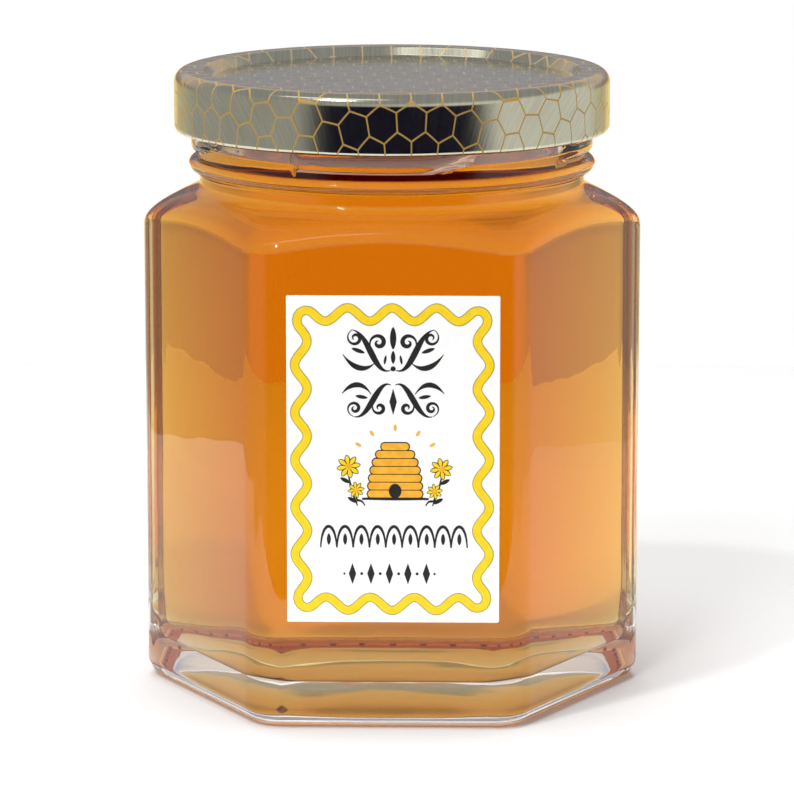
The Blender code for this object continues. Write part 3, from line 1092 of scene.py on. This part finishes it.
# %% [markdown]
# The lid's section is drawn as two outlines, the lacquered outside and the lined inside, that meet under the
# curl. Smooth shading would round off the long straights between the bends, so each gets a point just inside
# both of its ends, which holds it flat.


# %% The lid's section
def arc(centre, radius, start, end, steps):
    """Points along an arc in the plane of the section, angles in degrees."""
    angles = [math.radians(start + (end - start) * i / steps) for i in range(steps + 1)]
    return [(centre[0] + radius * math.cos(a), centre[1] + radius * math.sin(a)) for a in angles]


def lid_outer_section():
    """From the axis on the top face, over the rim and down the skirt, to the foot of the curl."""
    panel_top = LID_TOP - PANEL_RECESS
    tangent = STEP_ROUNDING * math.tan(STEP_LEAN / 2)
    lean = math.degrees(STEP_LEAN)
    foot = (PANEL_RADIUS - tangent, panel_top + STEP_ROUNDING)
    head = (PANEL_RADIUS + STEP_WIDTH + tangent, LID_TOP - STEP_ROUNDING)
    points = [(r, panel_top) for r in evenly(0.0, PANEL_RADIUS - 2 * MM, 6)]
    points += arc(foot, STEP_ROUNDING, -90, lean - 90, 8)
    points += arc(head, STEP_ROUNDING, lean + 90, 90, 8)
    points += arc(SHOULDER_CENTRE, LID_SHOULDER_RADIUS, 90, 0, 16)
    points += arc(CURL_CENTRE, CURL_RADIUS, 0, -90, 8)
    return points


def lid_inner_section():
    """From the foot of the curl, round it and up inside, back to the axis."""
    outwards = LID_METAL / math.sin(STEP_LEAN) - LID_METAL / math.tan(STEP_LEAN)
    meets_wall = math.degrees(math.acos((LID_RADIUS - LID_METAL - CURL_CENTRE[0]) / CURL_RADIUS))
    points = arc(CURL_CENTRE, CURL_RADIUS, -90, -360 + meets_wall, 14)[1:]
    points += arc(SHOULDER_CENTRE, LID_SHOULDER_RADIUS - LID_METAL, 0, 90, 8)
    points += [(PANEL_RADIUS + STEP_WIDTH + outwards, LID_TOP - LID_METAL)]
    points += [(PANEL_RADIUS + outwards, LID_TOP - PANEL_RECESS - LID_METAL)]
    return points + [(0.0, LID_TOP - PANEL_RECESS - LID_METAL)]


HOLD = 0.12 * MM


def held_flats(section):
    """Adds a point close to each end of every long straight, so that its shading stays flat."""
    held = [section[0]]
    for start, end in zip(section, section[1:]):
        run = math.dist(start, end)
        if run > 5 * HOLD:
            for share in (HOLD / run, 1 - HOLD / run):
                held.append(tuple(a + (b - a) * share for a, b in zip(start, end)))
        held.append(end)
    return held


print("outside", len(lid_outer_section()), "points, inside", len(lid_inner_section()))


# %% [markdown]
# Curve to Mesh turns the section round a circle. It lays the section's Y axis down along the jar's axis, so
# the heights go in negative, and the section is shifted by the radius of the circle that it is carried round.

# %% The lid, turned
TURNING_RADIUS = 10.0 * MM


def make_lid():
    outer = held_flats(lid_outer_section())
    inner = held_flats([outer[-1]] + lid_inner_section())
    points = [[(radius, -height, 0.0) for radius, height in section] for section in (outer, inner)]
    lining = [0.0] * len(outer) + [1.0] * len(inner)
    tree = Grower("turned_lid", chain_mesh("lid_section", points, [("lining", lining)]))
    turning_radius = tree.size("Turning radius", TURNING_RADIUS)
    segments = tree.size("Segments", LID_SEGMENTS, "NodeSocketInt")
    shift = tree.vector(turning_radius * -1.0, 0.0, 0.0)
    section = tree.node("GeometryNodeTransform", None, {"Geometry": tree.shape, "Translation": shift})
    section = tree.node("GeometryNodeMeshToCurve", None, {"Mesh": section})
    sockets = {"Resolution": segments, "Radius": turning_radius}
    path = tree.node("GeometryNodeCurvePrimitiveCircle", None, sockets)
    turned = tree.node("GeometryNodeCurveToMesh", None, {"Curve": path, "Profile Curve": section})
    is_lining = tree.node("GeometryNodeInputNamedAttribute", None, {"Name": "lining"}) > 0.5
    data = tree.grow(turned, lid_outside, lid_inside, is_lining)
    lid = finish_piece("jar_lid", data, [])
    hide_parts("lid")
    return lid


make_lid()

# %% [markdown]
# ## The knurls under the foot
#
# A glass jar doesn't stand on a smooth ring. The mould leaves a row of small knurls there, so that a hot jar
# touches the belt only at points. From the front they show as a dotted line inside the thick base. They
# repeat along the foot, so Geometry Nodes set them out at even steps along a hexagon with round corners. The
# row starts in the middle of a side, which keeps every corner free.

# %% Knurls
KNURL_COUNT = 42
KNURL_SIZE = (0.50 * MM, 0.50 * MM, 0.30 * MM)
KNURL_HEIGHT = 0.42 * MM
KNURL_APOTHEM = APOTHEM - HEEL_RADIUS - FOOT_RING_WIDTH / 2


def knurl_paint(tree):
    """Glass with the honey's light painted on it, as an uneven amber."""
    grain = tree.noise(tree.vector(*tree.place()), 1800.0)
    amber = tree.mix(grain, (0.46, 0.19, 0.08, 1), (0.72, 0.36, 0.16, 1))
    return {"Base Color": amber, "Roughness": 0.3 + grain * 0.3}


# The knurls' amber is painted light: the honey's colour that reaches them through the base.
knurl_finish = principled("jar_foot_knurl", {"Transmission Weight": 0.3, "IOR": GLASS_IOR}, knurl_paint)


def make_knurls():
    ring = []
    for angle in column_angles():
        radius = hexagon_radius(angle, KNURL_APOTHEM, CORNER_RADIUS - HEEL_RADIUS)
        ring.append((radius * math.cos(angle), radius * math.sin(angle), KNURL_HEIGHT))
    middle = PANEL_STEPS // 2
    ring = ring[middle:] + ring[: middle + 1]
    tree = Grower("foot_knurls", chain_mesh("foot_ring", [ring]))
    count = tree.size("Knurls", KNURL_COUNT + 1, "NodeSocketInt")
    path = tree.node("GeometryNodeMeshToCurve", None, {"Mesh": tree.shape})
    path = tree.node("GeometryNodeResampleCurve", None, {"Curve": path, "Count": count})
    first = tree.node("GeometryNodeInputIndex") < 0.5
    path = tree.node("GeometryNodeCurveToPoints", {"mode": "EVALUATED"}, {"Curve": path})
    path = tree.node("GeometryNodeDeleteGeometry", None, {"Geometry": path, "Selection": first})
    knurl = tree.node("GeometryNodeMeshIcoSphere", None, {"Radius": 1.0, "Subdivisions": 2})
    sockets = {"Points": path, "Instance": knurl, "Scale": tree.vector(*KNURL_SIZE)}
    knurls = tree.node("GeometryNodeInstanceOnPoints", None, sockets)
    piece = finish_piece("jar_foot_knurls", tree.grow(knurls, knurl_finish), [])
    return piece


make_knurls()

# %% [markdown]
# ## The label
#
# The label is a sheet of coated paper glued flat to the front panel, with square corners and a cut edge a
# seventh of a millimetre thick. Its fibres show as the faintest unevenness of white and of gloss. Glue leaves
# no air between paper and glass, so the sheet's back lies a hair inside the glass. From behind the jar it is
# then seen through the honey, where a film of air would mirror the honey instead. The back glows faintly,
# because paper lets the studio's light through.

# %% The label sheet
PAPER_BACK = -0.03 * MM
PAPER_THICKNESS = 0.14 * MM
FIBRE_HEIGHT = 0.01 * MM
PAPER_CORNER = 0.10 * MM
PAPER_EDGE = 0.04 * MM
label_middle = (label_low + label_high) / 2
LABEL_WIDTH = label_high.x - label_low.x
LABEL_HEIGHT = label_high.z - label_low.z
LABEL_FACE = -APOTHEM - PAPER_BACK - PAPER_THICKNESS


def on_label(data, lift=0.0):
    """Stands a flat drawing, made in the XY plane round its middle, on the face of the label."""
    place = Matrix.Translation((label_middle.x, LABEL_FACE - lift, label_middle.z))
    data.transform(place @ Matrix.Rotation(math.pi / 2, 4, "X"))
    return data


def paper_paint(tree):
    """Coated paper with faint fibres and clouds."""
    place = tree.vector(*tree.place())
    fibres = tree.noise(place, 1500.0, detail=3.0)
    clouds = tree.noise(place, 160.0)
    white = tree.mix(fibres * 0.7 + clouds * 0.3, (0.92, 0.92, 0.91, 1), (0.97, 0.97, 0.965, 1))
    normal = tree.bump(fibres, 0.2, FIBRE_HEIGHT)
    return {"Base Color": white, "Roughness": 0.40 + fibres * 0.12, "Normal": normal}


paper = principled("jar_label_paper", {}, paper_paint)


def glue_paint(tree):
    """The paper's back, with smears of glue, and a painted glow for the light that comes through the paper."""
    x, y, z = tree.place()
    smears = tree.noise(tree.vector(x, y, z * 0.3), 300.0, detail=3.0)
    return {
        "Base Color": tree.mix(smears, (0.80, 0.79, 0.76, 1), (0.90, 0.89, 0.86, 1)),
        "Emission Color": tree.mix(smears, (0.80, 0.78, 0.74, 1), (1.0, 0.98, 0.93, 1)),
    }


# The glued back's emission is painted light: a faint glow for the studio's light that comes through the paper.
glue = principled("jar_label_glue", {"Roughness": 0.5, "Emission Strength": 0.35}, glue_paint)


def is_rim(edge):
    """Whether an edge runs round the top or the bottom of a sheet."""
    one, other = edge.verts
    return edge.calc_face_angle(0.0) > math.pi / 3 and one.co.z == other.co.z


def make_label():
    mesh = sheet_mesh(LABEL_WIDTH, LABEL_HEIGHT, 0.0, PAPER_CORNER, 6, PAPER_THICKNESS)
    rims = [edge for edge in mesh.edges if is_rim(edge)]
    bmesh.ops.bevel(mesh, geom=rims, offset=PAPER_EDGE, segments=2, affect="EDGES")
    data = bpy.data.meshes.new("label_paper")
    mesh.to_mesh(data)
    mesh.free()
    label = finish_piece("label_paper", on_label(data), [paper, glue], 30)
    for polygon in data.polygons:
        polygon.material_index = 1 if polygon.normal.y > 0.9 else 0
    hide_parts("label")
    return label


make_label()

# %% [markdown]
# ## Ink
#
# Print lies on the paper as a film too thin to see, but two films can't share one height, so each ink stands
# a few hundredths of a millimetre proud. Ink on coated paper is a little uneven where the fibres drank it.


# %% Inks
def ink(name, thin, full):
    """A printing ink between a thinner and a fuller shade."""

    def paint(tree):
        spread = tree.noise(tree.vector(*tree.place()), 900.0, detail=3.0)
        shade = tree.step(spread, 0.3, 0.7)
        return {"Base Color": tree.mix(shade, thin, full), "Roughness": 0.48 + spread * 0.15}

    return principled(name, {}, paint)


ink_yellow = ink("jar_ink_yellow", (0.90, 0.60, 0.008, 1), (0.95, 0.66, 0.014, 1))
ink_olive = ink("jar_ink_olive", (0.34, 0.30, 0.07, 1), (0.42, 0.38, 0.10, 1))
ink_amber = ink("jar_ink_amber", (0.80, 0.36, 0.02, 1), (0.90, 0.46, 0.035, 1))
ink_black = ink("jar_ink_black", (0.006, 0.006, 0.006, 1), (0.014, 0.013, 0.012, 1))
print("inks:", [one.name for one in (ink_yellow, ink_olive, ink_amber, ink_black)])

# %% [markdown]
# ## The wavy border
#
# The border is a band that snakes round the edge of the label: four waves along the top, six down each side,
# with a wave's crest on every corner. Drawing that by hand would never close evenly. The tree starts from a
# rectangle with round corners, gives it a whole number of waves, and pushes each point out or in by a cosine
# of how far along it is. An olive band, a little wider, lies under the yellow one as its outline.

# %% Border
BORDER_WIDTH = 25.35 * MM
BORDER_HEIGHT = 37.7 * MM
BORDER_CORNER = 1.6 * MM
BORDER_WAVES = 20
BORDER_SWING = 0.87 * MM
BORDER_SCALE = (0.968, 1.055, 1.0)
BORDER_PLACE = (-0.13 * MM, 0.0, 0.0)
BORDER_POINTS = 400
BORDER_BANDS = (
    ("print_border_edge", 1.30 * MM, 0.020 * MM, ink_olive),
    ("print_border", 1.02 * MM, 0.034 * MM, ink_yellow),
)
BORDER_LENGTH = 2 * (BORDER_WIDTH + BORDER_HEIGHT) - (8 - 2 * math.pi) * BORDER_CORNER
CREST = math.pi / 4 * BORDER_CORNER / BORDER_LENGTH


def make_border(name, band, height, material):
    """A closed wavy band of one width, standing a little proud of the paper."""
    tree = Grower(name, bpy.data.meshes.new(name))
    width = tree.size("Width", BORDER_WIDTH)
    length = tree.size("Height", BORDER_HEIGHT)
    corner = tree.size("Corner radius", BORDER_CORNER)
    waves = tree.size("Waves", float(BORDER_WAVES))
    swing = tree.size("Swing", BORDER_SWING)
    path = tree.node("GeometryNodeCurvePrimitiveQuadrilateral", None, {"Width": width, "Height": length})
    sockets = {"Curve": path, "Count": 12, "Radius": corner}
    path = tree.node("GeometryNodeFilletCurve", {"mode": "POLY"}, sockets)
    path = tree.node("GeometryNodeResampleCurve", None, {"Curve": path, "Count": BORDER_POINTS})
    along = tree.node("GeometryNodeSplineParameter")
    turn = (along - CREST) * waves * (2 * math.pi)
    push = turn.maths("COSINE", turn) * swing
    normal = tree.node("GeometryNodeInputNormal")
    offset = tree.node("ShaderNodeVectorMath", {"operation": "SCALE"}, {0: normal, "Scale": push})
    path = tree.node("GeometryNodeSetPosition", None, {"Geometry": path, "Offset": offset})
    sockets = {"Geometry": path, "Translation": BORDER_PLACE, "Scale": BORDER_SCALE}
    path = tree.node("GeometryNodeTransform", None, sockets)
    band_width = tree.size("Band width", band)
    ink_height = tree.size("Ink height", height)
    sockets = {"Width": band_width, "Height": ink_height * 2.0}
    section = tree.node("GeometryNodeCurvePrimitiveQuadrilateral", None, sockets)
    swept = tree.node("GeometryNodeCurveToMesh", None, {"Curve": path, "Profile Curve": section})
    data = on_label(tree.grow(swept, material))
    border = finish_piece(name, data, [], 30)
    return border


for name, band, height, material in BORDER_BANDS:
    make_border(name, band, height, material)

# %% [markdown]
# ## Strokes
#
# Everything else on the label is drawn with one pen: a stroke is a chain of points, each with the width of
# the nib there. A tree sweeps a flat section along every chain, as wide as the nib, and then sets the top
# and the underside of the whole drawing at their heights. Each stroke of an ink lies a hair above the one
# before it, because two faces at exactly the same height would flicker.

# %% A pen for the print
STROKE_STEPS = 26
SPOT_STEPS = 12
STROKE_STACK = 0.0003 * MM
STROKE_FOOT = -0.02 * MM
FINEST_NIB = 0.02


def mark(x, y, nib):
    """A point of a stroke and the nib's width there, both given in millimetres."""
    return (x * MM, y * MM, max(nib, FINEST_NIB) * MM)


def swell(share, thin, thick):
    """The width of a nib that is pressed down in the middle of a stroke, in millimetres."""
    return thin + (thick - thin) * math.sin(math.pi * share) ** 1.4


def sweep(a, b, c, d, thick, thin=0.10):
    """A stroke along a Bezier curve through a and d, drawn towards b and c, in millimetres."""
    points = []
    for i in range(STROKE_STEPS + 1):
        t = i / STROKE_STEPS
        shares = ((1 - t) ** 3, 3 * t * (1 - t) ** 2, 3 * t * t * (1 - t), t**3)
        x = sum(share * point[0] for share, point in zip(shares, (a, b, c, d)))
        y = sum(share * point[1] for share, point in zip(shares, (a, b, c, d)))
        points.append(mark(x, y, swell(t, thin, thick)))
    return points


def spiral(x, y, start, end, turns, heading, thick):
    """A stroke that winds from one radius to another round a point. The heading is in degrees."""
    points = []
    for i in range(2 * STROKE_STEPS + 1):
        t = i / (2 * STROKE_STEPS)
        radius = start + (end - start) * t**0.7
        angle = math.radians(heading) + turns * 2 * math.pi * t
        across, up = x + radius * math.cos(angle), y + radius * math.sin(angle)
        points.append(mark(across, up, swell(t, 0.10, thick)))
    return points


def blot(x, y, width, height):
    """A round or oval spot: a short upright stroke as wide as the spot is at every height."""
    points = []
    for i in range(SPOT_STEPS + 1):
        turn = math.pi * (i / SPOT_STEPS - 0.5)
        points.append(mark(x, y + height / 2 * math.sin(turn), width * math.cos(turn)))
    return points


def lozenge(x, y, width, height):
    """A diamond, widest in the middle."""
    return [mark(x, y - height / 2, 0.0), mark(x, y, width), mark(x, y + height / 2, 0.0)]


def petal(x, y, heading, inner, outer, width):
    """A long rounded petal or leaf that points away from a spot. The heading is in degrees."""
    points = []
    across, up = math.cos(math.radians(heading)), math.sin(math.radians(heading))
    for i in range(SPOT_STEPS + 1):
        share = 0.5 - 0.5 * math.cos(math.pi * i / SPOT_STEPS)
        reach = inner + (outer - inner) * share
        nib = width * math.sin(math.pi * share) ** 0.6
        points.append(mark(x + reach * across, y + reach * up, nib))
    return points


def mirrored(strokes):
    """The strokes, and the same ones the other way round."""
    return strokes + [[(-x, y, nib) for x, y, nib in stroke] for stroke in strokes]


def moved(strokes, x, y, scale=1.0):
    """The strokes made larger or smaller and put in their place, which is given in millimetres."""
    result = []
    for stroke in strokes:
        result.append([(px * scale + x * MM, py * scale + y * MM, nib) for px, py, nib in stroke])
    return result


def draw(name, strokes, height, material):
    """One ink's strokes as a piece on the label."""
    nibs = [point[2] for stroke in strokes for point in stroke]
    stack = [i * STROKE_STACK for i, stroke in enumerate(strokes) for point in stroke]
    chains = [[(x, y, 0.0) for x, y, nib in stroke] for stroke in strokes]
    tree = Grower(name, chain_mesh(name, chains, [("nib", nibs), ("stack", stack)]))
    ink_height = tree.size("Ink height", height)
    foot = tree.size("Foot", STROKE_FOOT)
    path = tree.node("GeometryNodeMeshToCurve", None, {"Mesh": tree.shape})
    nib = tree.node("GeometryNodeInputNamedAttribute", None, {"Name": "nib"})
    flat = tree.node("GeometryNodeCurvePrimitiveQuadrilateral", None, {"Width": 1.0, "Height": 0.1})
    sockets = {"Curve": path, "Profile Curve": flat, "Scale": nib, "Fill Caps": True}
    swept = tree.node("GeometryNodeCurveToMesh", None, sockets)
    x = tree.node("ShaderNodeSeparateXYZ", None, {0: tree.node("GeometryNodeInputPosition")})
    y, z = tree.other_output(x, 1), tree.other_output(x, 2)
    level = tree.node("GeometryNodeInputNamedAttribute", None, {"Name": "stack"}) + ink_height
    upper = z > 0.0
    flat_place = tree.vector(x, y, upper * level + (1.0 - upper) * foot)
    shape = tree.node("GeometryNodeSetPosition", None, {"Geometry": swept, "Position": flat_place})
    piece = finish_piece(name, on_label(tree.grow(shape, material)), [], 30)
    return piece


print("the finest line is", FINEST_NIB, "mm wide")


# %% [markdown]
# ## The ornament
#
# Two rows of scrolls fill the upper half of the label and two thin rows its foot. The scrolls are drawn for
# their right half and mirrored, so they read as an ornament and nothing else. The thin rows repeat an arch
# with a drop under it, and a lozenge with a dot. Sizes in these lists are in millimetres.

# %% Scrolls
SCROLL_HALF = [
    sweep((0.35, -2.7), (2.6, -3.7), (3.3, 2.6), (5.6, 2.9), 0.85),
    spiral(5.2, 1.75, 1.25, 0.25, -1.35, 70, 0.45),
    spiral(2.0, 1.15, 1.45, 0.2, 1.4, -60, 0.60),
    sweep((2.5, -1.7), (4.0, -3.1), (5.6, -2.4), (6.9, -0.5), 0.75),
    petal(3.9, -0.3, 20, 0.0, 1.9, 0.55),
    petal(1.2, -1.9, 100, 0.0, 1.3, 0.35),
]
SCROLL_MIDDLE = [
    petal(0.0, 0.2, 90, 0.0, 3.1, 0.85),
    petal(0.0, 0.0, -90, 0.0, 1.8, 0.60),
    blot(0.0, -2.5, 0.7, 0.7),
]
TENDRIL_HALF = [
    sweep((0.3, 2.2), (2.2, 3.3), (3.2, -2.9), (5.4, -2.2), 0.80),
    spiral(5.3, -1.05, 1.15, 0.2, 1.45, -80, 0.45),
    spiral(1.9, -1.0, 1.15, 0.2, -1.3, 60, 0.50),
    sweep((3.0, 0.9), (4.3, 2.9), (5.9, 2.4), (7.0, 1.0), 0.70),
    petal(3.5, 0.4, 10, 0.0, 1.7, 0.50),
]


def arch(x):
    """One arch of the arcade, from its left foot."""
    return sweep((x, -1.5), (x + 0.15, 2.2), (x + 1.91, 2.2), (x + 2.06, -1.5), 0.42, 0.20)


ARCADE = [arch(x) for x in evenly(-9.45, 7.35, 9)]
ARCADE += [petal(x, 0.35, -90, 0.0, 1.5, 0.55) for x in evenly(-8.4, 8.4, 9)]
LOZENGES = [lozenge(x, 0.0, 1.0, 2.9) for x in evenly(-5.0, 5.0, 5)]
LOZENGES += [blot(x, 0.0, 0.40, 0.40) for x in evenly(-3.75, 3.75, 4)]
LOZENGES += [blot(x, 0.0, 0.3, 0.3) for x in (-6.1, 6.1)]
print("strokes", len(mirrored(SCROLL_HALF + TENDRIL_HALF) + SCROLL_MIDDLE), "and", len(ARCADE + LOZENGES))

# %% [markdown]
# Between the rows stands a straw hive with flowers on either side: black silhouettes first, then amber and
# yellow a little smaller on top. The hive is a stack of seven coils, each a level stroke with round ends that
# is shorter the higher it lies.

# %% Hive and flowers
HIVE_PLACE = (0.27, -5.2)
HIVE_COILS = 7
HIVE_WIDTH = 7.4
HIVE_HEIGHT = 7.6
FLOWERS = ((-6.0, -0.9, 1.55), (6.5, -1.2, 1.45), (-5.0, -4.1, 1.05), (5.6, -4.3, 1.0))
LEAVES = ((-2.6, 3.3, 125), (0.27, 4.0, 90), (3.1, 3.3, 55), (-4.3, 1.9, 150), (4.9, 1.9, 30))


def coil(level, grow):
    """One coil of straw: a level stroke with round ends, in millimetres."""
    height = HIVE_HEIGHT / HIVE_COILS
    y = HIVE_PLACE[1] + height * (level + 0.5)
    reach = HIVE_WIDTH / 2 * math.sqrt(1 - ((level + 0.35) / (HIVE_COILS + 0.25)) ** 2.2)
    half = height / 2 - 0.06 + grow
    points = []
    for i in range(-12, 13):
        share = abs(i) / 12
        x = (reach + grow) * math.copysign(share**0.35, i)
        rest = max((abs(x) - (reach + grow - half)) / half, 0.0)
        nib = 2 * half * math.sqrt(max(1 - rest * rest, 0.0))
        points.append(mark(HIVE_PLACE[0] + x, y, nib))
    return points


hive_shadow = [coil(level, 0.16) for level in range(HIVE_COILS)]
hive_shadow.append(sweep((-4.2, -5.35), (-1.5, -5.25), (2.0, -5.25), (4.8, -5.35), 0.55, 0.30))
hive_straw = [coil(level, 0.0) for level in range(HIVE_COILS)]
hive_door = [blot(HIVE_PLACE[0], HIVE_PLACE[1] + 0.95, 1.7, 2.0)]
flower_petals, flower_shadow, flower_hearts, stems = [], [], [], []
for x, y, size in FLOWERS:
    for heading in range(0, 360, 45):
        flower_shadow.append(petal(x, y, heading + 10, size * 0.15, size + 0.10, size * 0.50))
        flower_petals.append(petal(x, y, heading + 10, size * 0.25, size, size * 0.34))
    flower_hearts.append(blot(x, y, size * 0.62, size * 0.62))
    side = math.copysign(1.0, x)
    bend, root = (x - side * 0.6, -5.0), (x - side * 1.2, -6.3)
    stems.append(sweep((x, y - size * 0.8), (x - side * 0.1, y - 2.0), bend, root, 0.30, 0.16))
    stems.append(petal(x - side * 0.2, y - size - 0.7, 90 - side * 62, 0.0, 1.5, 0.55))
for x, y, heading in LEAVES:
    flower_hearts.append(petal(x, y, heading, 0.0, 0.9, 0.42))
print(HIVE_COILS, "coils,", len(flower_petals), "petals and", len(stems), "stems and leaves")

# %% Print it
black = moved(mirrored(SCROLL_HALF) + SCROLL_MIDDLE, 0.0, 14.96, 0.98)
black += moved(mirrored(TENDRIL_HALF), 0.0, 8.13, 0.98) + [lozenge(0.0, 8.0, 1.0, 3.6)]
black += moved(ARCADE, 0.13, -10.5, 1.05) + moved(LOZENGES, -0.5, -15.7)
draw("print_scrolls", black, 0.020 * MM, ink_black)
draw("print_shadow", hive_shadow + flower_shadow + stems, 0.018 * MM, ink_black)
draw("print_straw", hive_straw, 0.042 * MM, ink_amber)
draw("print_petals", flower_petals, 0.045 * MM, ink_yellow)
draw("print_hearts", flower_hearts, 0.060 * MM, ink_amber)
draw("print_door", hive_door, 0.064 * MM, ink_black)
